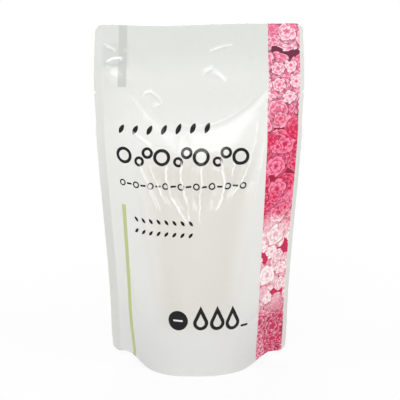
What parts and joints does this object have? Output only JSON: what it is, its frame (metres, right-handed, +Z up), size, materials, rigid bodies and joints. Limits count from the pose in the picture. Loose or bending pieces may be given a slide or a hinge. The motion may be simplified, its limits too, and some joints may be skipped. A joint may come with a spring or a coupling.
{
  "type": "stand-up refill pouch",
  "caption": "Filled, sealed stand-up film pouch of liquid soap, with a base gusset, tear notches and an embossed corner spout.",
  "frame": {"origin": "under the middle of the base, on the surface the pouch stands on", "axes": "+Z up, the printed front faces -Y, +X to the right in front view"},
  "size_m": [0.1294, 0.0586, 0.2219],
  "materials": {
    "film": "glossy white printed laminate film"
  },
  "bodies": {
    "root": {"pouch": "film"}
  },
  "joints": []
}
